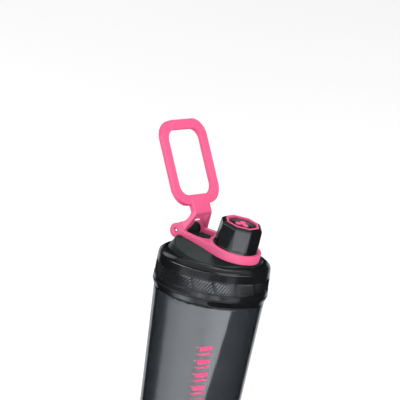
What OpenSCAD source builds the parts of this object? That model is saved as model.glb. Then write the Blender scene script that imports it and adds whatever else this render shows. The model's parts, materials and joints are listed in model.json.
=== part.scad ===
// Protein shaker bottle: a tapered cup, a screw-on lid with a sloped deck and a
// drinking spout, a swinging carry loop whose ring surrounds the spout, and an
// eight-sided cap that screws up and down inside that ring.
// The base stands on z = 0 round the origin; the spout is on the +X side.

/* [Cup] */
// Outer radius of the cup at its base
cup_base_r = 36.5; // [34:0.5:38]
// Outer radius of the cup just under the lid
cup_top_r = 44.0; // [43.5:0.1:44.2]
// Height of the cup body under the lid
cup_body_h = 147.2; // [120:0.1:160]
// Wall thickness of the cup
cup_wall = 2.4; // [2:0.1:3]
// Outer radius of the threaded neck
neck_r = 40.4; // [40:0.1:40.5]
// Height of the threaded neck above the cup body
neck_h = 22.8; // [22:0.1:24]

/* [Lid] */
// Widest radius of the lid collar, at its lower lip
collar_r = 46.0; // [45.6:0.1:47]
// Height of the outer wall of the collar
collar_h = 27.2; // [27:0.1:28]
// Radius of the collar at its top edge
collar_top_r = 44.7; // [44.4:0.1:45]
// Rise per full turn of the lid thread
lid_lead = 12; // [10:1:14]
// Radius where the rounded shoulder meets the crown
crown_r = 38.0; // [37.5:0.1:38.2]
// Slope of the deck round the spout, in degrees
deck_tilt = 7.7; // [7.5:0.1:8]
// Height of the sloped deck above the collar edge, on the bottle's axis
deck_rise = 10.7; // [10.5:0.1:11]
// Gentler slope of the deck behind the spout, in degrees
rear_tilt = 4; // [3.5:0.1:4.5]
// Distance of the bend between the two slopes behind the bottle's axis
bend_x = 2; // [1:0.5:3]

/* [Spout and cap] */
// Distance of the spout from the bottle's axis, along the deck
spout_x = 17.2; // [17:0.1:17.4]
// Outer radius of the spout
spout_r = 12.0; // [11.5:0.1:12]
// Radius of the drinking bore
spout_bore_r = 9.5; // [9:0.1:9.8]
// Height of the spout above the deck
spout_h = 15.5; // [15:0.1:16]
// Radius of the cap at its round foot
cap_r = 17.8; // [17.6:0.1:18]
// Height of the cap's top above the deck
cap_top = 27.5; // [27:0.1:29]
// Rise per full turn of the cap thread
cap_lead = 6; // [5:0.5:6]

/* [Carry loop] */
// Outer radius of the ring round the spout
ring_r = 21.1; // [20.8:0.1:21.5]
// Height of the ring above the deck
ring_h = 7.4; // [7.2:0.1:7.6]
// Height of the two arms above the deck, at the hinge
arm_h = 3.6; // [3.4:0.1:4.5]
// Outer width of the loop
loop_w = 54.5; // [50:0.5:58]
// Outer length of the loop
loop_len = 69; // [64:0.5:72]
// Width of the loop's bar
bar_w = 7.2; // [6.5:0.1:8]
// Thickness of the loop's bar
bar_t = 4.6; // [4:0.1:5.5]
// Backward lean of the loop from the vertical, in degrees
loop_lean = 29.7; // [27:0.1:32]

/* [Hidden] */
$fn = 96;
eps = 0.01;

// Lid heights
collar_low = cup_body_h + 0.6;
edge_z = collar_low + collar_h;
roof_z = edge_z - 2.5;
step_z = edge_z + 2;
shoulder_z = edge_z + 4.1;
plug_r = crown_r - 1.2;
shell_t = 2.4;
crown_slope = 0.625;
collar_bore_r = 42.3;
rim_z = cup_body_h + neck_h;
lid_thread_z = rim_z - 6.5;
pad_r = 32.2;

// Hinge pin of the carry loop
pin_x = -32.2;
pin_z = edge_z + 14.9;
pin_r = 1.6;
knob_r = 5.9;
knob_in = 10.6;
knob_out = 15;
barrel_r = 5.2;
barrel_half = 8.1;
bush_t = 2.2;
bush_r = 5.0;
vent_x = -15;

// Cap and ring heights, measured up from the deck
ring_bore_r = 17.3;
thread_bore_r = 17.95;
lip_h = 1.8;
boss_h = 1.6;
boss_r = ring_bore_r - 0.4;
grip_t = 0.6;
grip_r = ring_bore_r - 0.08 - grip_t;
cap_thread_z = 6;
cap_neck_r = 16.6;
cap_bore_r = 14.7;
cap_foot = 7.8;
cap_neck_low = 2.1;
retainer_t = 0.7;
cap_roof = spout_h + 2.4;
recess_z = cap_top - 2.2;

// Loop placing, measured from the collar edge
loop_foot = [-25.1, 37.3];
neck_x = -21;

// Point set of an arc with centre c, radius r, from angle a0 to a1
function arc(c, r, a0, a1, n = 6) =
    [for (i = [0:n]) c + r * [cos(a0 + (a1 - a0) * i / n), sin(a0 + (a1 - a0) * i / n)]];

// Places children on the sloped deck, z up from its surface
module on_deck() {
    translate([0, 0, edge_z + deck_rise]) rotate([0, deck_tilt, 0]) children();
}

// Places children on the gentler slope behind the bend
module on_rear() {
    translate([-bend_x, 0, edge_z + deck_rise + bend_x * tan(deck_tilt)])
        rotate([0, rear_tilt, 0]) translate([bend_x, 0, 0]) children();
}

// Places children on the spout's axis
module on_spout() {
    on_deck() translate([spout_x, 0, 0]) children();
}

// Flat rounded rectangle, centred
module rounded_rect(w, h, r) {
    square([w - 2 * r, h], center = true);
    square([w, h - 2 * r], center = true);
    for (sx = [-1, 1], sy = [-1, 1])
        translate([sx * (w / 2 - r), sy * (h / 2 - r)]) circle(r);
}

// One interrupted thread: count tilted ridges that follow a helix of the given lead
module thread_ridges(r_root, r_tip, t, span, lead, count, start = 0) {
    lean = atan(lead / (2 * PI * (r_root + r_tip) / 2));
    for (i = [0:count - 1])
        rotate([0, 0, start + i * 360 / count])
            rotate([lean, 0, 0])
                rotate_extrude(angle = span, start = -span / 2)
                    polygon([[r_root, -t * 0.75], [r_tip, -t * 0.35], [r_tip, t * 0.35],
                             [r_root, t * 0.75]]);
}

// ---- Cup ----
cup_slope = (cup_top_r - cup_base_r) / cup_body_h;
function cup_out(z) = cup_base_r + cup_slope * z;

module cup() {
    foot_z = 1;
    floor_z = 7;
    foot_arc = 4;
    inner_arc = 6;
    inner_r = 37.9;
    seat_r = 39.2;
    color([0.28, 0.29, 0.31, 0.6]) {
        rotate_extrude() polygon(concat(
            [[0, foot_z + 3], [pad_r, foot_z + 3], [pad_r, foot_z]],
            arc([cup_out(5) - foot_arc, foot_z + foot_arc], foot_arc, -88, 0),
            arc([cup_top_r - 1.2, cup_body_h - 1.2], 1.2, 0, 90),
            [[neck_r, cup_body_h], [neck_r, rim_z - 0.6], [neck_r - 0.6, rim_z],
             [seat_r, rim_z], [seat_r, rim_z - 2], [inner_r, rim_z - 2],
             [inner_r, cup_body_h - 1],
             [cup_out(cup_body_h - 6) - cup_wall, cup_body_h - 6]],
            arc([cup_out(floor_z) - cup_wall - inner_arc, floor_z + inner_arc],
                inner_arc, 0, -90),
            [[0, floor_z]]));
        translate([0, 0, lid_thread_z])
            thread_ridges(neck_r - 0.3, neck_r + 1.45, 1.5, 72, lid_lead, 3);
    }
}

module base_pad() {
    color([0.06, 0.06, 0.07]) rotate_extrude()
        polygon([[0, 0], [pad_r - 1, 0], [pad_r, 1], [pad_r, 4], [0, 4]]);
}

// Black oval on the collar's lower bevel that shows where the lid closes
module align_mark() {
    mark_z = collar_low + 2.3;
    bevel = atan(1.5 / 4.2);
    color([0.02, 0.02, 0.03]) rotate([0, 0, -40]) intersection() {
        translate([collar_r - 1.1, 0, mark_z]) rotate([0, 90 + bevel, 0])
            scale([2.2, 9.8, 1]) cylinder(h = 8, r = 1, center = true, $fn = 48);
        difference() {
            translate([0, 0, collar_low]) cylinder(h = 4.2, r1 = collar_r - 1.5, r2 = collar_r);
            translate([0, 0, collar_low]) cylinder(h = 4.2, r1 = collar_r - 1.8, r2 = collar_r - 0.3);
        }
    }
}

// Strainer basket hung in the cup's mouth, with concentric slots that break up powder
module mixing_grid() {
    top = rim_z - 0.3;
    depth = 12;
    floor_t = 1.6;
    color([0.10, 0.10, 0.11]) difference() {
        rotate_extrude() polygon([[0, top - depth], [36.2, top - depth], [37.5, top - depth + 3],
            [37.5, top - 1.6], [39.1, top - 1.6], [39.1, top], [36.1, top],
            [36.1, top - depth + 3.4], [35.2, top - depth + floor_t], [0, top - depth + floor_t]]);
        for (ring = [1:4])
            for (k = [0:5])
                translate([0, 0, top - depth - 1]) rotate([0, 0, k * 60 + ring * 15])
                    rotate_extrude(angle = 46)
                        translate([ring * 8 - 2.5, 0]) square([5, floor_t + 2]);
        translate([0, 0, top - depth - 1]) cylinder(h = floor_t + 2, r = 2.6);
    }
}

// ---- Lid ----
module lid_collar() {
    band_low = collar_low + 9.9;
    band_top = edge_z - 6.5;
    color([0.05, 0.05, 0.06]) {
        rotate_extrude() polygon(concat(
            [[collar_bore_r, collar_low], [collar_r - 1.8, collar_low],
             [collar_r - 0.3, collar_low + 4.2], [collar_r, collar_low + 4.8],
             [collar_r - 0.1, collar_low + 5.4], [collar_r - 0.4, collar_low + 5.7],
             [collar_r - 0.2, collar_low + 6],
             [collar_r - 0.3, band_low], [collar_r - 1.1, band_low + 0.2],
             [collar_r - 1.3, band_top - 0.2], [collar_top_r + 0.4, band_top]],
            arc([collar_top_r - 1, edge_z - 1.1], 1, 0, 45, 4),
            arc([crown_r - 2, edge_z - 6.7], 11, 41, 79.5),
            [[crown_r, shoulder_z], [crown_r, step_z], [plug_r, step_z], [plug_r, roof_z],
             [collar_bore_r, roof_z]]));
        translate([0, 0, lid_thread_z])
            thread_ridges(collar_bore_r + 0.4, neck_r + 0.35, 1.5, 72, lid_lead, 3, 60);
    }
}

// Long block under one slope of the deck; its top falls away on both sides of the arms
module deck_block(inset) {
    half = knob_out + 0.4;
    fall = 0.19;
    translate([-60, 0, -0.3 - inset]) rotate([90, 0, 90]) linear_extrude(120)
        polygon([[-half, 0], [half, 0], [half + 30, -30 * fall], [half + 30, -30],
                 [-half - 30, -30], [-half - 30, -30 * fall]]);
}

// Outer form of the crown: an upright cone cut by the two slopes of the deck
module crown_form(inset) {
    intersection() {
        translate([0, 0, roof_z])
            cylinder(h = shoulder_z - roof_z + 30,
                     r1 = crown_r - inset + crown_slope * (shoulder_z - roof_z),
                     r2 = crown_r - inset - crown_slope * 30);
        on_deck() deck_block(inset);
        on_rear() deck_block(inset);
    }
}

module lid_deck() {
    color([0.10, 0.11, 0.11]) difference() {
        union() {
            intersection() {
                crown_form(0);
                translate([0, 0, step_z]) cylinder(h = 40, r = crown_r);
            }
            translate([0, 0, roof_z]) cylinder(h = step_z - roof_z + eps, r = plug_r);
            on_spout() cylinder(h = spout_h, r = spout_r);
            on_spout() translate([0, 0, -1]) cylinder(h = boss_h + 1, r = boss_r);
            translate([pin_x, 0, pin_z]) rotate([90, 0, 0])
                cylinder(h = 2 * barrel_half, r = barrel_r, center = true);
            translate([pin_x, 0, pin_z - 4.5])
                cube([2 * barrel_r - 1, 2 * barrel_half, 9], center = true);
        }
        // Hollow inside the crown, open to the cup
        intersection() {
            crown_form(shell_t);
            translate([0, 0, roof_z - 1]) cylinder(h = 60, r = plug_r - shell_t);
        }
        translate([0, 0, roof_z - 1]) cylinder(h = 4, r = plug_r - shell_t);
        // Drinking bore
        on_spout() translate([0, 0, -20]) cylinder(h = 50, r = spout_bore_r);
        // Groove for the grip ring on the spout's boss
        on_spout() translate([0, 0, boss_h / 2 - grip_t]) difference() {
            cylinder(h = 2 * grip_t, r = ring_bore_r);
            translate([0, 0, -1]) cylinder(h = 4, r = grip_r - grip_t);
        }
        // Seat of the hinge pin
        translate([pin_x, 0, pin_z]) rotate([90, 0, 0])
            cylinder(h = 40, r = pin_r, center = true);
        // Pockets that the loop's knobs and legs turn in
        for (s = [-1, 1])
            translate([pin_x, s * (barrel_half + knob_out + 0.6) / 2, pin_z]) rotate([90, 0, 0])
                cylinder(h = knob_out + 0.6 - barrel_half, r = knob_r + 0.6, center = true);
        // Seat of the vent valve
        on_rear() translate([vent_x, 0, -10]) cylinder(h = 20, r = 1.5);
    }
}

module lid_gasket() {
    color([0.75, 0.75, 0.76]) rotate_extrude()
        polygon([[38.4, rim_z + 0.25], [41.9, rim_z + 0.25], [42.2, rim_z + 0.6],
                 [42.2, roof_z], [38.1, roof_z], [38.1, rim_z + 0.6]]);
}

// Duckbill plug that lets air in behind the drink
module vent_valve() {
    color([0.75, 0.75, 0.76]) on_rear() translate([vent_x, 0, -0.3]) {
        cylinder(h = 0.9, r = 2.6);
        translate([0, 0, -3.4]) cylinder(h = 3.5, r = 1.5);
        translate([0, 0, -5.4]) cylinder(h = 2.1, r1 = 0.8, r2 = 2.2);
    }
}

module ring_grip() {
    color([0.12, 0.12, 0.13]) on_spout() translate([0, 0, boss_h / 2])
        rotate_extrude() translate([grip_r, 0]) circle(grip_t);
}

module hinge_pin() {
    color([0.82, 0.83, 0.85]) translate([pin_x, 0, pin_z]) rotate([90, 0, 0])
        cylinder(h = 2 * knob_out - 0.8, r = pin_r, center = true);
}

// Flanged washer between the black barrel and one knob
module hinge_bush(side) {
    color([0.15, 0.15, 0.16])
        translate([pin_x, side * (barrel_half + bush_t / 2), pin_z]) rotate([90, 0, 0])
            difference() {
                cylinder(h = bush_t, r = bush_r, center = true);
                cylinder(h = bush_t + 1, r = pin_r, center = true);
            }
}

module hinge_bush_left() { hinge_bush(-1); }
module hinge_bush_right() { hinge_bush(1); }

// ---- Carry loop ----
module loop_frame() {
    translate([loop_foot[0], 0, edge_z + loop_foot[1]]) rotate([0, -loop_lean, 0])
        rotate([90, 0, 90]) linear_extrude(bar_t, center = true)
            translate([0, loop_len / 2]) difference() {
                rounded_rect(loop_w, loop_len, 15);
                rounded_rect(loop_w - 2 * bar_w, loop_len - 2 * bar_w - 1.5, 9);
            }
}

// One leg from a knob up to the neck, hollowed behind by a round cut
module leg(side) {
    difference() {
        hull() {
            translate([pin_x + 3.8, side * (knob_in + knob_out - 0.6) / 2, pin_z + 2.2])
                rotate([90, 0, 0])
                    cylinder(h = knob_out - knob_in + 0.2, r = 4.6, center = true, $fn = 32);
            translate([neck_x, side * 7.2, edge_z + 31]) rotate([90, 0, 0])
                cylinder(h = 5, r = 2.6, center = true, $fn = 32);
        }
        translate([pin_x + 0.7, 0, edge_z + 30.5]) rotate([90, 0, 0])
            cylinder(h = 60, r = 8, center = true);
    }
}

// Everything below the two slopes that the arms lie along
module under_deck() {
    intersection() {
        on_deck() translate([-60, -60, -40]) cube([120, 120, 40]);
        on_rear() translate([-60, -60, -40]) cube([120, 120, 40]);
    }
}

// One arm along the deck, running out to the side of the ring
module arm(side) {
    arm_w = 4.6;
    sunk = 0.8;
    difference() {
        hull() {
            on_rear() translate([pin_x, side * (knob_out - 0.1 - arm_w / 2) - arm_w / 2, -sunk])
                cube([1, arm_w, arm_h + sunk]);
            on_spout() translate([-6, side * (ring_r - 0.3 - arm_w / 2) - arm_w / 2, -sunk])
                cube([3, arm_w, ring_h - 0.6 + sunk]);
        }
        under_deck();
    }
}

// Everything of the carry loop but its ring
module loop_arms() {
    difference() {
        union() {
            loop_frame();
            // Neck between the loop and the two legs
            hull() {
                translate([neck_x, 0, edge_z + 31.8]) rotate([90, 0, 0])
                    cylinder(h = 19.4, r = 2.7, center = true, $fn = 32);
                translate([loop_foot[0] - 1.6, 0, edge_z + loop_foot[1] + 4])
                    rotate([90, 0, 0]) cylinder(h = 21, r = 2.2, center = true, $fn = 32);
            }
            // Web between the legs, above the barrel
            hull() {
                translate([neck_x, 0, edge_z + 31]) rotate([90, 0, 0])
                    cylinder(h = 16, r = 2.2, center = true, $fn = 32);
                translate([neck_x - 2.4, 0, edge_z + 26.7]) rotate([90, 0, 0])
                    cylinder(h = 18, r = 1.7, center = true, $fn = 32);
            }
            for (s = [-1, 1]) {
                leg(s);
                translate([pin_x, s * (knob_in + knob_out - 1) / 2, pin_z]) rotate([90, 0, 0])
                    cylinder(h = knob_out - knob_in + 1, r = knob_r, center = true);
                arm(s);
            }
            // Web that joins the arms behind the ring
            on_rear() translate([-13, -14, 1.1]) cube([20, 28, arm_h - 1.2]);
        }
        // Round back edge of the web
        on_rear() translate([-15.5, 0, -1]) cylinder(h = 20, r = 9.5);
        // Place of the ring
        on_spout() translate([0, 0, -5]) cylinder(h = 40, r = ring_r - 1.5);
        // Pin holes
        translate([pin_x, 0, pin_z]) rotate([90, 0, 0])
            cylinder(h = 60, r = pin_r + 0.05, center = true);
        // Space for the barrel and its bushes
        translate([pin_x, 0, pin_z]) rotate([90, 0, 0])
            cylinder(h = 2 * knob_in, r = 10, center = true);
    }
}

// Ring round the spout: locating lip below, threaded bore above
module loop_ring() {
    on_spout() {
        difference() {
            cylinder(h = ring_h, r = ring_r);
            translate([0, 0, -1]) cylinder(h = 20, r = ring_bore_r);
            translate([0, 0, lip_h]) cylinder(h = 20, r = thread_bore_r);
        }
        translate([0, 0, cap_thread_z])
            thread_ridges(thread_bore_r + 0.2, cap_neck_r + 0.3, 0.6, 50, cap_lead, 3, 60);
    }
}

module carry_loop() {
    color([1.0, 0.34, 0.56]) union() {
        loop_arms();
        loop_ring();
    }
}

// ---- Cap ----
module cap_retainer() {
    color([0.08, 0.08, 0.09]) on_spout() translate([0, 0, cap_neck_low])
        difference() {
            cylinder(h = retainer_t, r = ring_bore_r + 0.1);
            translate([0, 0, -1]) cylinder(h = 3, r = cap_neck_r - 0.6);
        }
}

// Cuts eight flats that lean in by the given angle from radius a at height z
module eight_flats(a, z, lean, h) {
    for (k = [0:7])
        rotate([0, 0, k * 45]) translate([a, 0, z]) rotate([0, -lean, 0])
            translate([0, -20, -1]) cube([12, 40, h]);
}

module spout_cap() {
    side_lean = 3.5;
    side_r = 17.0;
    bevel_h = 1.7;
    bevel_lean = 48;
    bevel_r = side_r - (cap_top - bevel_h - cap_foot) * tan(side_lean);
    color([0.04, 0.04, 0.05]) on_spout() difference() {
        union() {
            difference() {
                translate([0, 0, cap_foot + 0.5])
                    cylinder(h = cap_top - cap_foot - 0.5, r1 = cap_r - 0.05, r2 = cap_r - 0.5);
                eight_flats(side_r, cap_foot, side_lean, 30);
                eight_flats(bevel_r, cap_top - bevel_h, bevel_lean, 12);
            }
            translate([0, 0, cap_foot]) cylinder(h = 0.9, r = cap_r);
            translate([0, 0, cap_neck_low + retainer_t])
                cylinder(h = cap_foot - cap_neck_low, r = cap_neck_r);
            translate([0, 0, cap_neck_low]) cylinder(h = 1, r = cap_neck_r - 0.6);
            translate([0, 0, cap_thread_z])
                thread_ridges(cap_neck_r - 0.2, thread_bore_r - 0.3, 0.6, 50, cap_lead, 3);
        }
        // Inside of the cap
        translate([0, 0, -1]) cylinder(h = cap_roof + 1, r = cap_bore_r);
        // Seats of the trim ring and the disc
        translate([0, 0, recess_z]) rotate([0, 0, 22.5]) cylinder(h = 5, r = 14.0, $fn = 8);
    }
}

module cap_seal() {
    color([0.75, 0.75, 0.76]) on_spout() translate([0, 0, spout_h + 0.3])
        cylinder(h = cap_roof - spout_h - 0.3, r = cap_bore_r);
}

module cap_trim_ring() {
    color([1.0, 0.34, 0.56]) on_spout() translate([0, 0, recess_z]) rotate([0, 0, 22.5])
        difference() {
            cylinder(h = cap_top - recess_z + 0.3, r = 14.0, $fn = 8);
            translate([0, 0, -1]) cylinder(h = 5, r = 12.2, $fn = 8);
        }
}

module cap_disc() {
    color([0.05, 0.05, 0.06]) on_spout() translate([0, 0, recess_z]) rotate([0, 0, 22.5])
        cylinder(h = 1, r = 12.2, $fn = 8);
}

// Plain three-armed badge with no meaning of its own
module cap_emblem() {
    color([1.0, 0.34, 0.56]) on_spout() translate([0, 0, recess_z + 1]) {
        for (k = [0:2])
            rotate([0, 0, k * 120]) translate([3.4, 0, 0]) cylinder(h = 0.6, r = 2.4);
        cylinder(h = 0.6, r = 2);
    }
}

cup();
base_pad();
align_mark();
mixing_grid();
lid_collar();
lid_deck();
lid_gasket();
vent_valve();
ring_grip();
hinge_pin();
hinge_bush_left();
hinge_bush_right();
carry_loop();
cap_retainer();
spout_cap();
cap_seal();
cap_trim_ring();
cap_disc();
cap_emblem();
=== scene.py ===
"""Looks of the protein shaker bottle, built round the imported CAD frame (metres, +Z up)."""

import json
import math

import bmesh
import bpy
from mathutils import Matrix, Vector

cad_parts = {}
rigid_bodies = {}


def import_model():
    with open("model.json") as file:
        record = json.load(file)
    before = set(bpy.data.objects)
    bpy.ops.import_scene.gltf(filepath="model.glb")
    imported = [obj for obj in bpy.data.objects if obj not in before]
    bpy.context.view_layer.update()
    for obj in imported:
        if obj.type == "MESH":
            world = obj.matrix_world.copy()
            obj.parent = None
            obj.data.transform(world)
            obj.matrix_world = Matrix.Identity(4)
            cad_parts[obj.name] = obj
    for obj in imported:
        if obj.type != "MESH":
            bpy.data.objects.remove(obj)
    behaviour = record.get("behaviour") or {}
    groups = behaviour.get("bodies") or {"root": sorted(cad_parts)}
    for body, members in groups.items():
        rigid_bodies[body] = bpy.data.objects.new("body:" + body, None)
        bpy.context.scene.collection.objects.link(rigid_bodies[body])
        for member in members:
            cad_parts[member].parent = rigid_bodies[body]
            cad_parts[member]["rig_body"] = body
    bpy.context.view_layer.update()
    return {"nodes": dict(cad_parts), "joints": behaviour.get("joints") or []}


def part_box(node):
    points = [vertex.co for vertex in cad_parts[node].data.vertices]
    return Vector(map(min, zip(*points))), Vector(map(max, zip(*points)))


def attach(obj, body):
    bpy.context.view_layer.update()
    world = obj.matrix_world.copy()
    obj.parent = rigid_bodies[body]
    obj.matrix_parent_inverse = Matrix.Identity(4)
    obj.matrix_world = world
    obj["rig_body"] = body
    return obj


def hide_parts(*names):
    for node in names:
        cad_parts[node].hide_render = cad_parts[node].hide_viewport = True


MM = 0.001
TAU = 2 * math.pi
EIGHTH = TAU / 8

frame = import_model()
nodes = frame["nodes"]

# ---- Places and sizes worked out from the frame, in millimetres ----
joints = {j["name"]: j for j in frame["joints"]}
collar_low_corner, collar_high_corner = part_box("lid_collar")
collar_r = collar_high_corner.y / MM
collar_low = collar_low_corner.z / MM
# Height of the edge where the collar's wall turns into its shoulder
shoulder_rise = 4.1
edge_z = collar_high_corner.z / MM - shoulder_rise
cup_body_top = collar_low - 0.6
cup_top_r = 44.0
cup_base_r = 36.5
thread_below_rim = 6.5
thread_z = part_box("cup")[1].z / MM - thread_below_rim

# Threads: degrees that each of the three ridges covers, and rise per turn in millimetres
lid_span, lid_lead = 72, 12
cap_span, cap_lead = 50, 6

# Frame of the spout: its z runs up the spout's axis from the sloped deck
spout_up = Vector(joints["cap_turn"]["axis"]).normalized()
spout_side = Vector((0, 1, 0))
spout_turn = Matrix((spout_side.cross(spout_up), spout_side, spout_up)).transposed().to_4x4()
on_spout = Matrix.Translation(Vector(joints["cap_turn"]["pos_m"])) @ spout_turn

# Frame of the hinge pin: its z runs along the pin
pin_low, pin_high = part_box("hinge_pin")
on_pin = Matrix.Translation((pin_low + pin_high) / 2) @ Matrix.Rotation(math.radians(90), 4, "X")
pin_half = (pin_high.y - pin_low.y) / 2 / MM
pin_r = (pin_high.x - pin_low.x) / 2 / MM


# ---- Mesh helpers ----
def finish_mesh(name, bm, slot_name, body, smooth_angle, material=None):
    """Turns a bmesh into a shaded object that rides on a body."""
    bmesh.ops.recalc_face_normals(bm, faces=bm.faces)
    mesh = bpy.data.meshes.new(name)
    bm.to_mesh(mesh)
    bm.free()
    piece = bpy.data.objects.new(name, mesh)
    bpy.context.scene.collection.objects.link(piece)
    dress(piece, slot_name, smooth_angle, material)
    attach(piece, body)
    return piece


def dress(piece, slot_name, smooth_angle, material=None):
    """Gives a piece its slot, its material and smooth shading below the given angle.

    The material is the slot's own one unless another is given."""
    piece.data.materials.clear()
    piece.data.materials.append(material or materials[slot_name])
    piece.data.shade_smooth()
    if smooth_angle < 180:
        bm = bmesh.new()
        bm.from_mesh(piece.data)
        limit = math.radians(smooth_angle)
        for edge in bm.edges:
            if len(edge.link_faces) == 2 and edge.calc_face_angle() > limit:
                edge.smooth = False
        bm.to_mesh(piece.data)
        bm.free()


def arc(cx, cz, r, start, end, steps=8):
    """Points of an arc in the (radius, height) plane, angles in degrees."""
    points = []
    for i in range(steps + 1):
        a = math.radians(start + (end - start) * i / steps)
        points.append((cx + r * math.cos(a), cz + r * math.sin(a)))
    return points


def rounded(corners, steps=5, support=0.12):
    """Closed outline from (radius, height, rounding) corners, with each corner rounded off.

    Support points beside each rounding keep the flats next to it flat in shading."""
    outline = []
    count = len(corners)
    for i, (x, z, rounding) in enumerate(corners):
        here = Vector((x, z))
        if rounding <= 0:
            outline.append((x, z))
            continue
        back = Vector(corners[i - 1][:2]) - here
        ahead = Vector(corners[(i + 1) % count][:2]) - here
        half = back.angle(ahead) / 2
        reach = min(rounding / math.tan(half), 0.45 * back.length, 0.45 * ahead.length)
        start = here + back.normalized() * reach
        end = here + ahead.normalized() * reach
        extra = min(support, 0.04 * back.length + 0.04 * ahead.length)
        outline.append(tuple(start + back.normalized() * extra))
        for k in range(steps + 1):
            t = k / steps
            point = (1 - t) ** 2 * start + 2 * t * (1 - t) * here + t ** 2 * end
            outline.append(tuple(point))
        outline.append(tuple(end + ahead.normalized() * extra))
    return outline


def add_lathe(bm, profile, place=Matrix.Identity(4), segments=192, reach=None, closed=False):
    """Adds the surface swept by a profile of (radius, height) points in millimetres.

    reach(angle, radius, height) may change the radius with the angle, which makes flats."""
    rings = []
    for r, z in profile:
        if r < 1e-6:
            rings.append([bm.verts.new(place @ Vector((0, 0, z * MM)))])
            continue
        ring = []
        for i in range(segments):
            a = TAU * i / segments
            radius = reach(a, r, z) if reach else r
            point = Vector((radius * math.cos(a), radius * math.sin(a), z)) * MM
            ring.append(bm.verts.new(place @ point))
        rings.append(ring)
    if closed:
        rings.append(rings[0])
    for low, high in zip(rings, rings[1:]):
        for i in range(segments):
            j = (i + 1) % segments
            corners = [low[i % len(low)], low[j % len(low)]]
            corners += [high[j % len(high)], high[i % len(high)]]
            # On the axis a ring is a single point, so the face there is a triangle
            unique = list(dict.fromkeys(corners))
            if len(unique) > 2:
                bm.faces.new(unique)


def add_sweep(bm, sections):
    """Adds a closed solid through a list of equal point rings."""
    rings = [[bm.verts.new(p) for p in section] for section in sections]
    n = len(rings[0])
    for low, high in zip(rings, rings[1:]):
        for i in range(n):
            bm.faces.new([low[i], low[(i + 1) % n], high[(i + 1) % n], high[i]])
    bm.faces.new(rings[0][::-1])
    bm.faces.new(rings[-1])


def add_thread(bm, r_root, r_tip, z, thickness, span, lead, start=0, place=Matrix.Identity(4)):
    """Adds three helical thread ridges with faded ends, in millimetres and degrees."""
    steps = 36
    for k in range(3):
        sections = []
        for i in range(steps + 1):
            t = i / steps
            swing = (t - 0.5) * span
            a = math.radians(start + k * 120 + swing)
            fade = max(min(1, 6 * min(t, 1 - t)) ** 0.5, 0.02)
            tip = r_root + (r_tip - r_root) * fade
            height = z + lead * swing / 360
            outline = [(r_root, -0.75), (tip, -0.35), (tip, 0.35), (r_root, 0.75)]
            section = []
            for r, h in outline:
                point = Vector((r * math.cos(a), r * math.sin(a), height + h * thickness)) * MM
                section.append(place @ point)
            sections.append(section)
        add_sweep(bm, sections)


def remeshed_copy(node, name, voxel, smoothing, slot_name):
    """A rounded skin of a CAD node: voxel remesh, smoothed, then shaded like a moulding."""
    piece = bpy.data.objects.new(name, nodes[node].data.copy())
    bpy.context.scene.collection.objects.link(piece)
    weld = piece.modifiers.new("weld", "WELD")
    weld.merge_threshold = 1e-6
    remesh = piece.modifiers.new("remesh", "REMESH")
    remesh.mode = "VOXEL"
    remesh.voxel_size = voxel
    smooth = piece.modifiers.new("smooth", "SMOOTH")
    smooth.factor = 0.5
    smooth.iterations = smoothing
    graph = bpy.context.evaluated_depsgraph_get()
    mesh = bpy.data.meshes.new_from_object(piece.evaluated_get(graph))
    piece.modifiers.clear()
    piece.data = mesh
    mesh.name = name
    dress(piece, slot_name, 180)
    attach(piece, nodes[node]["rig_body"])
    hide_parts(node)
    return piece


# ---- Materials ----
class Shader:
    """A Principled material with its nodes, in object coordinates."""

    def __init__(self, name, **sockets):
        self.material = bpy.data.materials.new(name)
        self.material.use_nodes = True
        tree = self.material.node_tree
        self.nodes, self.links = tree.nodes, tree.links
        self.surface = self.nodes["Principled BSDF"]
        self.coords = self.nodes.new("ShaderNodeTexCoord").outputs["Object"]
        for key, value in sockets.items():
            self.surface.inputs[key.replace("_", " ")].default_value = value

    def noise(self, scale, detail=4, roughness=0.55, distortion=0):
        """Fractal noise; scale is in features per metre."""
        node = self.nodes.new("ShaderNodeTexNoise")
        node.inputs["Scale"].default_value = scale
        node.inputs["Detail"].default_value = detail
        node.inputs["Roughness"].default_value = roughness
        node.inputs["Distortion"].default_value = distortion
        self.links.new(self.coords, node.inputs["Vector"])
        return node.outputs["Fac"]

    def span(self, value, low, high):
        """Stretches the middle of a noise, where most of it lies, to the given range."""
        node = self.nodes.new("ShaderNodeMapRange")
        node.inputs["From Min"].default_value = 0.3
        node.inputs["From Max"].default_value = 0.7
        node.inputs["To Min"].default_value = low
        node.inputs["To Max"].default_value = high
        self.links.new(value, node.inputs["Value"])
        return node.outputs["Result"]

    def mix(self, factor, first, second):
        """Blend of two colours; inputs 6 and 7 and output 2 are the mix node's colour sockets."""
        node = self.nodes.new("ShaderNodeMix")
        node.data_type = "RGBA"
        self.links.new(factor, node.inputs["Factor"])
        node.inputs[6].default_value = first
        node.inputs[7].default_value = second
        return node.outputs[2]

    def bump(self, layers):
        """Bump from (height, strength, distance) layers, the finest last."""
        normal = None
        for height, strength, distance in layers:
            node = self.nodes.new("ShaderNodeBump")
            node.inputs["Strength"].default_value = strength
            node.inputs["Distance"].default_value = distance
            self.links.new(height, node.inputs["Height"])
            if normal is not None:
                self.links.new(normal, node.inputs["Normal"])
            normal = node.outputs["Normal"]
        self.links.new(normal, self.surface.inputs["Normal"])

    def feed(self, socket, value):
        """Links a node's output to one of the surface's sockets."""
        self.links.new(value, self.surface.inputs[socket])


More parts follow.
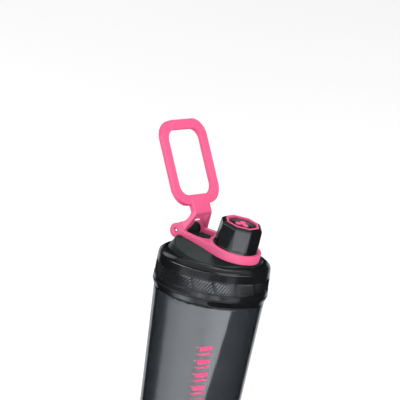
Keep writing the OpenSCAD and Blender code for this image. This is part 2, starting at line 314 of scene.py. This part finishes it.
def moulded_plastic(name, dark, light, rough, grain, grain_depth, **sockets):
    """Injection-moulded plastic: faint flow mottling, uneven gloss and fine spark-eroded grain."""
    shader = Shader(name, **sockets)
    flow = shader.span(shader.noise(28, 3, 0.5, 0.6), 0, 1)
    shader.feed("Base Color", shader.mix(flow, dark, light))
    gloss = shader.span(shader.noise(70, 5, 0.6), rough[0], rough[1])
    shader.feed("Roughness", gloss)
    grain_height = shader.noise(grain, 3, 0.6)
    wave_height = shader.noise(55, 2, 0.4)
    shader.bump([(wave_height, 0.12, 0.0006), (grain_height, grain_depth, 0.00012)])
    return shader.material


def smoke_clear():
    """Smoke-tinted copolyester: the tint is in the depth of the wall, the outside is glossy."""
    shader = Shader("smoke_clear", IOR=1.50, Transmission_Weight=1.0, Coat_Weight=0.35,
                    Coat_Roughness=0.05, Coat_IOR=1.5)
    flow = shader.span(shader.noise(14, 3, 0.5, 0.8), 0, 1)
    shader.feed("Base Color", shader.mix(flow, (0.86, 0.87, 0.88, 1), (0.93, 0.94, 0.95, 1)))
    shader.feed("Roughness", shader.span(shader.noise(45, 4, 0.6), 0.07, 0.12))
    shader.bump([(shader.noise(24, 2, 0.4), 0.08, 0.0006)])
    depth = shader.nodes.new("ShaderNodeVolumeAbsorption")
    depth.inputs["Color"].default_value = (0.10, 0.12, 0.155, 1)
    depth.inputs["Density"].default_value = 570
    output = shader.nodes["Material Output"]
    shader.links.new(depth.outputs["Volume"], output.inputs["Volume"])
    return shader.material


def silicone():
    """Milky soft silicone."""
    shader = Shader("clear_silicone", IOR=1.41, Transmission_Weight=0.35, Subsurface_Weight=0.4,
                    Subsurface_Scale=0.002)
    cloud = shader.span(shader.noise(120, 4, 0.6), 0, 1)
    shader.feed("Base Color", shader.mix(cloud, (0.66, 0.67, 0.69, 1), (0.78, 0.79, 0.80, 1)))
    shader.feed("Roughness", shader.span(shader.noise(300, 3), 0.32, 0.45))
    shader.bump([(shader.noise(900, 2), 0.15, 0.0001)])
    return shader.material


def brushed_steel():
    """Stainless pin stock with fine turning marks."""
    shader = Shader("steel", Metallic=1.0, Anisotropic=0.3)
    tone = shader.span(shader.noise(400, 4, 0.7), 0, 1)
    shader.feed("Base Color", shader.mix(tone, (0.72, 0.73, 0.75, 1), (0.86, 0.87, 0.88, 1)))
    shader.feed("Roughness", shader.span(shader.noise(900, 3), 0.16, 0.30))
    shader.bump([(shader.noise(1500, 2), 0.2, 0.00008)])
    return shader.material


# One material for each slot of the CAD model, then those of the vent, the print and the align
# mark, whose near-black is painted shade of the gap under the collar
materials = {
    "smoke_clear": smoke_clear(),
    "black_gloss": moulded_plastic(
        "black_gloss", (0.0075, 0.0080, 0.0095, 1), (0.011, 0.0115, 0.013, 1), (0.17, 0.23),
        2600, 0.10, Specular_IOR_Level=0.5, Coat_Weight=0.25, Coat_Roughness=0.10),
    "deck_satin": moulded_plastic(
        "deck_satin", (0.012, 0.018, 0.018, 1), (0.017, 0.024, 0.023, 1), (0.30, 0.36),
        3200, 0.30, Specular_IOR_Level=0.38),
    "black_satin": moulded_plastic(
        "black_satin", (0.008, 0.008, 0.010, 1), (0.012, 0.012, 0.014, 1), (0.34, 0.44),
        3000, 0.25, Specular_IOR_Level=0.5),
    "pink_satin": moulded_plastic(
        "pink_satin", (0.91, 0.105, 0.270, 1), (0.95, 0.120, 0.295, 1), (0.40, 0.48),
        3400, 0.16, Specular_IOR_Level=0.4, Subsurface_Weight=0.06, Subsurface_Scale=0.0015),
    "black_rubber": moulded_plastic(
        "black_rubber", (0.012, 0.012, 0.013, 1), (0.022, 0.022, 0.023, 1), (0.62, 0.75),
        1800, 0.5, Specular_IOR_Level=0.35),
    "clear_silicone": silicone(),
    "steel": brushed_steel(),
}
dark_silicone = moulded_plastic(
    "dark_silicone", (0.010, 0.010, 0.011, 1), (0.016, 0.016, 0.017, 1), (0.16, 0.24),
    1500, 0.15, Specular_IOR_Level=0.5, Coat_Weight=0.3)
print_pink = moulded_plastic(
    "print_pink", (0.78, 0.055, 0.190, 1), (0.84, 0.070, 0.215, 1), (0.42, 0.52),
    5200, 0.12, Specular_IOR_Level=0.3)
# Near-black with little gloss: painted shade of the dark gap between the collar and the cup, laid
# on the align mark
gap_shade_black = moulded_plastic(
    "gap_shade_black", (0.0010, 0.0010, 0.0012, 1), (0.0018, 0.0018, 0.0020, 1), (0.50, 0.60),
    2400, 0.2, Specular_IOR_Level=0.12)


# ---- Pieces ----
def give_cad_materials():
    """Every CAD node that stays takes the detailed material of its slot."""
    for node in nodes.values():
        for place in node.material_slots:
            place.material = materials[place.material.name.split(".")[0]]
    # The align mark's near-black is painted shade of the gap under the collar
    nodes["align_mark"].material_slots[0].material = gap_shade_black
    nodes["vent_valve"].material_slots[0].material = dark_silicone


def collar_skin():
    """The screw collar with rounded edges, a stepped lip, a sunk band and its inside thread."""
    bm = bmesh.new()
    low = collar_low
    bore_r, plug_r, crown_r = 42.3, 36.8, 38
    roof_z = edge_z - 2.5
    step_z = edge_z + 2
    # Bevel, lip, groove under the lip, smooth wall, sunk band, upper wall
    corners = [
        (bore_r, low, 0.3), (collar_r - 1.8, low, 0.5), (collar_r - 0.35, low + 4.1, 0.7),
        (collar_r, low + 4.8, 0.3), (collar_r - 0.08, low + 5.5, 0.3),
        (collar_r - 0.55, low + 5.8, 0.12), (collar_r - 0.25, low + 6.1, 0.2),
        (collar_r - 0.3, low + 9.9, 0.25), (collar_r - 1.1, low + 10.1, 0.2),
        (collar_r - 1.3, edge_z - 6.7, 0.2), (collar_r - 0.9, edge_z - 6.5, 0.15),
        (collar_r - 1.3, edge_z - 0.75, 0.35)]
    corners += [(r, z, 0) for r, z in arc(36, edge_z - 6.7, 11, 41, 79.5, 14)]
    # Down the inside, where the crown sits, and under the roof
    corners += [(crown_r, edge_z + shoulder_rise, 0.3), (crown_r, step_z, 0), (plug_r, step_z, 0),
                (plug_r, roof_z, 0), (bore_r, roof_z, 0.3)]
    add_lathe(bm, rounded(corners), segments=256, closed=True)
    add_thread(bm, bore_r + 0.3, 40.75, thread_z, 1.5, lid_span, lid_lead, 60)
    piece = finish_mesh("collar_skin", bm, "black_gloss", "lid", 40)
    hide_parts("lid_collar")


def cup_skin():
    """The cup with an even wall, a rounded foot, a stepped neck and its thread."""
    bm = bmesh.new()
    slope = (cup_top_r - cup_base_r) / cup_body_top
    wall = 2.4
    pad_r, pad_z = 32.2, 4
    foot_r = 4
    brim_r = 1.2
    inside_r, inside_z = 6, 7
    neck_r, neck_bore_r, grid_seat_r = 40.4, 37.9, 39.2
    neck_top = thread_z + thread_below_rim

    foot = arc(cup_base_r + slope * 5 - foot_r, 5, foot_r, -88, 0, 12)
    brim = arc(cup_top_r - brim_r, cup_body_top - brim_r, brim_r, 0, 90, 8)
    bottom = arc(cup_base_r + slope * inside_z - wall - inside_r, inside_z + inside_r,
                 inside_r, 0, -90, 12)
    foot_end_r, foot_end_z = foot[-1]
    brim_start_r, brim_start_z = brim[0]
    side = (brim_start_z - foot_end_z) / 12
    # The wall has a point close to each end, which keeps it straight in shading
    near_end = 0.5

    profile = [(0, pad_z), (pad_r, pad_z), (pad_r, 1.1)] + foot
    profile.append((foot_end_r + slope * near_end, foot_end_z + near_end))
    profile += [(foot_end_r + slope * side * i, foot_end_z + side * i) for i in range(1, 12)]
    profile.append((brim_start_r - slope * near_end, brim_start_z - near_end))
    profile += brim
    profile += [(neck_r + 0.2, cup_body_top), (neck_r, cup_body_top + 0.2),
                (neck_r, neck_top - 0.6), (neck_r - 0.15, neck_top - 0.2),
                (neck_r - 0.5, neck_top), (grid_seat_r, neck_top), (grid_seat_r, neck_top - 2),
                (neck_bore_r + 0.1, neck_top - 2), (neck_bore_r, neck_top - 2.1),
                (neck_bore_r, cup_body_top + 0.3), (neck_bore_r + 0.2, cup_body_top - 0.2),
                (cup_top_r - wall - 0.35, cup_body_top - 1.7),
                (cup_top_r - wall - 0.12, cup_body_top - 2.3)]
    profile += bottom
    profile.append((0, inside_z))
    add_lathe(bm, profile, segments=256)
    add_thread(bm, neck_r - 0.3, 41.85, thread_z, 1.5, lid_span, lid_lead)
    piece = finish_mesh("cup_skin", bm, "smoke_clear", "cup", 40)
    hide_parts("cup")


def knurl_band():
    """Raised slanting ridges round the collar, in tiles whose borders lean the other way."""
    bm = bmesh.new()
    tiles = 16
    per_tile = 7
    band_low = collar_low + 10.3
    band_h = edge_z - 6.9 - band_low
    floor_r = collar_r - 1.15
    tile_w = TAU * floor_r / tiles
    pitch = tile_w / per_tile
    lean = 1 / math.tan(math.radians(58))
    border_lean = -1 / math.tan(math.radians(66))
    height, gap = 0.52, 0.62
    shortest = 1.4
    # Sections run down into the floor: a long slope that faces left, a narrow crest, a steep side
    sunk = -0.03
    slope_foot, crest_start, crest_end, side_foot = -0.75, 0.48, 0.58, 0.70
    steps = 10
    for tile in range(tiles):
        left = tile * tile_w
        for k in range(-5, per_tile + 6):
            foot = left + (k + 0.5) * pitch
            # Where the ridge's line crosses the tile's two leaning borders
            enter = (left + gap - foot) / (lean - border_lean)
            leave = (left + tile_w - gap - foot) / (lean - border_lean)
            low, high = max(0, enter), min(band_h, leave)
            if high - low < shortest:
                continue
            sections = []
            for i in range(steps + 1):
                t = i / steps
                h = low + (high - low) * t
                s = foot + lean * h
                # The ends of a ridge ramp up from the floor
                rise = height * min(1, 0.15 + (high - low) * min(t, 1 - t) / 0.55)
                base = floor_r - 0.02 * h
                section = []
                for across, up in ((slope_foot, sunk), (crest_start, rise), (crest_end, rise),
                                   (side_foot, sunk)):
                    a = (s + across) / floor_r
                    r = base + up
                    section.append(Vector((r * math.cos(a), r * math.sin(a), band_low + h)) * MM)
                sections.append(section)
            add_sweep(bm, sections)
    finish_mesh("knurl_band", bm, "black_gloss", "lid", 30)


def smooth_min(a, b, blend):
    """The smaller of two lengths, rounded off where they are close."""
    h = max(blend - abs(a - b), 0) / blend
    return min(a, b) - h * h * blend / 4


def octagon(angle, inradius, blend=0.25):
    """Distance to an octagon's edge, with its corners rounded off."""
    near = (angle + EIGHTH / 2) % EIGHTH - EIGHTH / 2
    first = inradius / math.cos(near)
    second = inradius / math.cos(EIGHTH - abs(near))
    return smooth_min(first, second, blend)


# Heights of the cap above the deck, and its flats: how far out they start, and their lean
cap_foot, cap_top, cap_recess = 7.8, 27.5, 25.3
cap_bevel = cap_top - 1.7
flat_reach = 17.0
flat_lean = math.tan(math.radians(3.5))
bevel_lean = math.tan(math.radians(48))


def cap_reach(angle, r, z):
    """Radius of the cap's outer skin; r is the round form that the eight flats cut into."""
    side = octagon(angle, flat_reach - (z - cap_foot) * flat_lean, 0.5)
    bevel_start = flat_reach - (cap_bevel - cap_foot) * flat_lean
    bevel = octagon(angle, bevel_start - (z - cap_bevel) * bevel_lean, 0.5)
    return smooth_min(smooth_min(side, bevel, 0.5), r, 0.25)


def cap_skin():
    """The eight-sided cap: leaning flats, bevelled top, octagonal seat and threaded neck."""
    bm = bmesh.new()
    # Rows of points close together where the flats and the bevel begin and end
    rows = [cap_foot + 1.0 + 0.15 * i for i in range(6)]
    rows += [cap_foot + 2.5 + (cap_bevel - cap_foot - 3.3) * i / 8 for i in range(9)]
    rows += [cap_bevel - 0.65 + 0.13 * i for i in range(11)]
    rows += [cap_bevel + 0.75 + (cap_top - cap_bevel - 0.95) * i / 4 for i in range(5)]
    body = [(17.75 - 0.45 * (z - cap_foot) / (cap_top - cap_foot), z) for z in rows]
    add_lathe(bm, body, on_spout, 384, cap_reach)

    # The corners of the flats are well inside a round form of this radius
    past_corners = 30
    rim = [(cap_reach(EIGHTH, past_corners, rows[-1]), rows[-1]), (13.98, cap_top - 0.06),
           (13.8, cap_top), (13.15, cap_top), (13.0, cap_top - 0.04), (12.94, cap_top - 0.2),
           (12.94, cap_recess), (0, cap_recess)]
    add_lathe(bm, rim, on_spout, 384, lambda a, r, z: octagon(a, r, 0.3))

    bore_r, neck_r, foot_r = 14.7, 16.6, 17.8
    groove_r = 16.0
    neck = [(bore_r, 2.1, 0.2), (groove_r, 2.1, 0.15), (groove_r, 2.85, 0.05),
            (neck_r, 2.85, 0.15), (neck_r, cap_foot, 0.15), (foot_r, cap_foot, 0.3),
            (foot_r, cap_foot + 0.95, 0.3), (groove_r, cap_foot + 1.3, 0)]
    add_lathe(bm, rounded(neck), on_spout)
    roof_z = 17.9
    bore = [(bore_r, 2.2), (bore_r, roof_z - 0.3), (bore_r - 0.3, roof_z), (0, roof_z)]
    add_lathe(bm, bore, on_spout)
    add_thread(bm, neck_r - 0.2, 17.65, 6, 0.6, cap_span, cap_lead, place=on_spout)
    bmesh.ops.remove_doubles(bm, verts=bm.verts, dist=2e-6)
    piece = finish_mesh("cap_skin", bm, "black_gloss", "cap", 40)
    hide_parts("spout_cap")


def cap_inlay():
    """The octagonal inlay ring, the sunk disc inside it and the raised badge."""
    bm = bmesh.new()
    ring = rounded([(12.90, cap_recess + 0.03, 0.1), (12.90, cap_top + 0.3, 0.32),
                    (11.32, cap_top + 0.3, 0.32), (11.32, cap_recess + 0.03, 0.1)], 5, 0.08)
    add_lathe(bm, ring, on_spout, 384, lambda a, r, z: octagon(a, r, 0.5), closed=True)
    piece = finish_mesh("inlay_ring", bm, "pink_satin", "cap", 40)
    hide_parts("cap_trim_ring")

    bm = bmesh.new()
    top = cap_recess + 1
    disc = [(0, cap_recess + 0.03), (11.22, cap_recess + 0.03), (11.22, top - 0.12),
            (11.14, top - 0.03), (11.0, top), (9.7, top), (9.55, top - 0.03), (9.45, top - 0.16),
            (9.3, top - 0.2), (0, top - 0.2)]
    add_lathe(bm, disc, on_spout, 384, lambda a, r, z: octagon(a, r, 0.6))
    piece = finish_mesh("inlay_disc", bm, "black_gloss", "cap", 40)
    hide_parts("cap_disc")

    hub_r, lobe_r, lobe_out = 2.0, 2.4, 3.4

    def lobes(a, r, z):
        """Outline of three round lobes round a hub, scaled by r."""
        best = hub_r
        for k in range(3):
            turn = a - k * TAU / 3
            off = abs(lobe_out * math.sin(turn))
            if off < lobe_r and math.cos(turn) > 0:
                best = max(best, lobe_out * math.cos(turn) + math.sqrt(lobe_r ** 2 - off ** 2))
        return best * r

    bm = bmesh.new()
    badge = [(1, top - 0.19), (1, top + 0.34), (0.985, top + 0.46), (0.955, top + 0.55),
             (0.91, top + 0.6), (0.5, top + 0.6), (0, top + 0.6)]
    add_lathe(bm, badge, on_spout, 360, lobes)
    piece = finish_mesh("inlay_badge", bm, "pink_satin", "cap", 40)
    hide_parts("cap_emblem")


def pin_skin():
    """The steel pin: a plain shank with a small domed head sunk in a chamfer at each end."""
    bm = bmesh.new()
    half = [(pin_r, 0), (pin_r, pin_half - 1.3), (pin_r - 0.05, pin_half - 1.2),
            (1.28, pin_half - 1.0), (1.2, pin_half - 0.9), (1.12, pin_half - 0.68),
            (0.95, pin_half - 0.5), (0.6, pin_half - 0.36), (0, pin_half - 0.3)]
    profile = [(r, -z) for r, z in half[::-1]] + half[1:]
    add_lathe(bm, profile, on_pin, 64)
    piece = finish_mesh("pin_skin", bm, "steel", "lid", 40)
    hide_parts("hinge_pin")


def graduation_marks():
    """Generic printed scale on the cup: slanted blocks with short ticks, no lettering."""
    bm = bmesh.new()

    def outer(z):
        """Radius just outside the cup's wall at a height."""
        ink = 0.06
        return cup_base_r + (cup_top_r - cup_base_r) * z / cup_body_top + ink

    def patch(angle, z, w, h, slant=0.0):
        """A thin printed patch of width w and height h, its ends shifted up and down by slant."""
        columns, rows = 8, 4
        verts = []
        for i in range(columns + 1):
            line = []
            for j in range(rows + 1):
                height = z + h * (j / rows - 0.5) + slant * (i / columns - 0.5)
                a = math.radians(angle) + w * (i / columns - 0.5) / outer(height)
                point = Vector((outer(height) * math.cos(a), outer(height) * math.sin(a), height))
                line.append(bm.verts.new(point * MM))
            verts.append(line)
        for i in range(columns):
            for j in range(rows):
                bm.faces.new([verts[i][j], verts[i + 1][j], verts[i + 1][j + 1], verts[i][j + 1]])

    facing = -45
    top, rows_apart = 113, 11
    block_w, block_slant = 9.4, 2.8
    for step in range(9):
        z = top - step * rows_apart
        patch(facing, z, block_w, 3.6, block_slant)
        patch(facing, z - 4.6, block_w, 1.7, block_slant)
        patch(facing - 9.0, z, 2.4, 0.8)
        patch(facing - 8.5, z - 5.5, 1.6, 0.6)
    finish_mesh("graduation_marks", bm, "pink_satin", "cup", 60, print_pink)


give_cad_materials()
cup_skin()
collar_skin()
knurl_band()
cap_skin()
cap_inlay()
pin_skin()
graduation_marks()
loop_skin = remeshed_copy("carry_loop", "carry_loop_skin", 0.36 * MM, 12, "pink_satin")
# The photograph shows no pink tint on the deck and the cap, so no bounced ray meets the loop
loop_skin.visible_glossy = False
loop_skin.visible_diffuse = False
remeshed_copy("lid_deck", "deck_skin", 0.42 * MM, 5, "deck_satin")


# ---- Camera at the photograph's viewing angle: degrees and metres, and the lens in mm ----
view_azimuth, view_elevation, view_roll = 38, 13.755, 9.907
view_distance = 2.456891
view_shift_right, view_shift_up = 0.01177, -0.045993
view_lens = 280.6
aim = Vector((0, 0, 0.175))


def camera_axes():
    """Right, up and backward directions of the rolled camera."""
    a, e, r = (math.radians(x) for x in (view_azimuth, view_elevation, view_roll))
    back = Vector((math.sin(a) * math.cos(e), -math.cos(a) * math.cos(e), math.sin(e)))
    right = Vector((math.cos(a), math.sin(a), 0))
    up = Vector((-math.sin(e) * math.sin(a), math.sin(e) * math.cos(a), math.cos(e)))
    return (math.cos(r) * right + math.sin(r) * up, -math.sin(r) * right + math.cos(r) * up, back)


def make_camera():
    """A long lens, as the photograph has almost no perspective."""
    right, up, back = camera_axes()
    data = bpy.data.cameras.new("camera")
    data.lens = view_lens
    data.sensor_width = 36
    camera = bpy.data.objects.new("camera", data)
    place = aim - view_shift_right * right - view_shift_up * up + view_distance * back
    turn = Matrix((right, up, back)).transposed().to_4x4()
    camera.matrix_world = Matrix.Translation(place) @ turn
    bpy.context.scene.collection.objects.link(camera)
    bpy.context.scene.camera = camera


# ---- Studio: floor, soft ambient light and softboxes ----
def make_floor():
    """A wide pale floor that glows a little, so that it stays white under soft light."""
    bm = bmesh.new()
    bmesh.ops.create_circle(bm, cap_ends=True, segments=96, radius=30)
    mesh = bpy.data.meshes.new("floor")
    bm.to_mesh(mesh)
    bm.free()
    floor = bpy.data.objects.new("floor", mesh)
    floor.location.z = -0.0002
    bpy.context.scene.collection.objects.link(floor)
    shader = Shader("floor_paper", Roughness=0.9, Specular_IOR_Level=0.1)
    shader.surface.inputs["Emission Color"].default_value = (1, 1, 1, 1)
    shader.surface.inputs["Emission Strength"].default_value = 0.12
    shade = shader.span(shader.noise(2, 2), 0, 1)
    shader.feed("Base Color", shader.mix(shade, (0.90, 0.90, 0.90, 1), (0.92, 0.92, 0.92, 1)))
    floor.data.materials.append(shader.material)
    # The part doesn't mirror the floor, and the floor blocks no light
    floor.visible_glossy = False
    floor.visible_shadow = False


def make_world():
    """Even white light from all round, which the part doesn't mirror."""
    world = bpy.data.worlds.new("studio")
    world.use_nodes = True
    background = world.node_tree.nodes["Background"]
    background.inputs["Color"].default_value = (1, 1, 1, 1)
    background.inputs["Strength"].default_value = 0.85
    world.cycles_visibility.glossy = False
    bpy.context.scene.world = world


def softbox(name, turn, lift, distance, width, height, radiance, target_z=0.12,
            diffuse=False, fade=None, slant=None):
    """An area light seen from the bottle at (turn, lift) degrees from the camera's side.

    A diffuse one lights the scene in plain white; the others only show as cool reflections.
    fade is a list of (place across the box, share of the radiance) stops; slant cuts the box
    off along a leaning line."""
    a, e = math.radians(view_azimuth + turn), math.radians(lift)
    away = Vector((math.sin(a) * math.cos(e), -math.cos(a) * math.cos(e), math.sin(e)))
    data = bpy.data.lights.new(name, "AREA")
    data.shape = "RECTANGLE"
    data.size, data.size_y = width, height
    data.energy = radiance * math.pi * width * height
    data.color = (1, 1, 1) if diffuse else (0.90, 0.95, 1.0)
    if fade:
        fade_across(data, fade, slant)
    light = bpy.data.objects.new(name, data)
    light.rotation_mode = "QUATERNION"
    facing = away.to_track_quat("Z", "Y").to_matrix().to_4x4()
    place = Matrix.Translation(Vector((0, 0, target_z)) + away * distance)
    light.matrix_world = place @ facing
    light.visible_camera = False
    light.visible_diffuse = diffuse
    light.visible_transmission = False
    bpy.context.scene.collection.objects.link(light)


def fade_across(data, stops, slant):
    """Makes an area light stronger or weaker from one side to the other.

    slant is (lean, limit): the box is dark where across - lean * up is over the limit."""
    data.use_nodes = True
    tree = data.node_tree
    geometry = tree.nodes.new("ShaderNodeNewGeometry")
    split = tree.nodes.new("ShaderNodeSeparateXYZ")
    ramp = tree.nodes.new("ShaderNodeValToRGB")
    elements = ramp.color_ramp.elements
    elements[0].position, elements[1].position = stops[0][0], stops[-1][0]
    for place, _ in stops[1:-1]:
        elements.new(place)
    for element, (_, share) in zip(elements, stops):
        element.color = (share, share, share, 1)
    tree.links.new(geometry.outputs["Parametric"], split.inputs["Vector"])
    tree.links.new(split.outputs["X"], ramp.inputs["Fac"])
    strength = ramp.outputs["Color"]
    if slant:
        lean, limit = slant
        soft_edge = 0.012
        line = tree.nodes.new("ShaderNodeMath")
        line.operation = "MULTIPLY_ADD"
        line.inputs[1].default_value = -lean
        tree.links.new(split.outputs["Y"], line.inputs[0])
        tree.links.new(split.outputs["X"], line.inputs[2])
        mask = tree.nodes.new("ShaderNodeMapRange")
        mask.inputs["From Min"].default_value = limit - soft_edge
        mask.inputs["From Max"].default_value = limit + soft_edge
        mask.inputs["To Min"].default_value = 1
        mask.inputs["To Max"].default_value = 0
        tree.links.new(line.outputs[0], mask.inputs["Value"])
        both = tree.nodes.new("ShaderNodeMath")
        both.operation = "MULTIPLY"
        tree.links.new(strength, both.inputs[0])
        tree.links.new(mask.outputs["Result"], both.inputs[1])
        strength = both.outputs[0]
    tree.links.new(strength, tree.nodes["Emission"].inputs["Strength"])


def card(name, turn, distance, width, low, high, radiance, fade=None, slant=None):
    """An upright softbox that faces the bottle's axis, from height low to height high."""
    softbox(name, turn, 0, distance, width, high - low, radiance, (low + high) / 2,
            fade=fade, slant=slant)


def make_lights():
    """Most lights are named after the surface that mirrors them; the last two are soft fills."""
    near, far = 0.34, 0.9
    # Cards: turn, distance, width, low edge, high edge, radiance
    # The cup's two broad sheens, of which the right one ends in a leaning edge
    card("cup_right", 25, near, 0.68, -0.24, 0.06, 4.6, slant=(0.808, 0.06),
         fade=[(0.0, 0.72), (0.25, 0.65), (0.40, 0.80), (0.52, 0.94), (1.0, 1.0)])
    card("cup_left", -60, near, 0.57, -0.24, 0.05, 3.3,
         fade=[(0.03, 0.0), (0.18, 0.09), (0.32, 0.54), (0.52, 0.72), (0.68, 0.90), (1.0, 1.0)])
    card("collar_left", -34, near, 0.38, 0.088, 0.13, 1.1)
    card("collar_right", 37, near, 0.10, 0.088, 0.13, 1.2)
    card("collar_bevel", -30, near, 0.57, -0.42, -0.25, 1.2)
    card("cap_front", 14, 1.2, 0.35, -0.25, -0.155, 5.2)
    # Softboxes: turn, lift, distance, width, height, radiance
    # The slanting ridges round the collar
    softbox("knurl_left", -44, 12, 0.6, 1.5, 0.11, 9.5, target_z=0.16,
            fade=[(0.0, 0.12), (0.09, 0.35), (0.26, 1.0), (1.0, 1.0)])
    softbox("knurl_right", 45, 15, 0.6, 0.9, 0.12, 4.0, target_z=0.16,
            fade=[(0.0, 1.0), (0.5, 0.85), (1.0, 0.3)])
    # Surfaces that face up mirror what is high behind the bottle
    softbox("shoulder_high", 152, 70, 0.8, 0.28, 0.28, 1.8, target_z=0.17)
    softbox("shoulder_rear", -135, 33, 0.8, 0.26, 0.34, 1.2, target_z=0.17)
    softbox("deck_rear", 176, 39, 1.0, 0.3, 0.3, 0.85, target_z=0.18)
    # Thin light lines down both edges of the cup
    card("rear_right", 156, far, 0.34, -0.3, 0.3, 0.7)
    card("rear_left", 206, far, 0.34, -0.3, 0.3, 0.7)
    softbox("top_fill", 0, 90, 1.5, 2.5, 2.5, 0.35, diffuse=True)
    softbox("soft_key", 35, 40, 2.0, 1.4, 1.4, 1.6, diffuse=True)


make_camera()
make_floor()
make_world()
make_lights()
bpy.context.scene.view_settings.view_transform = "Standard"
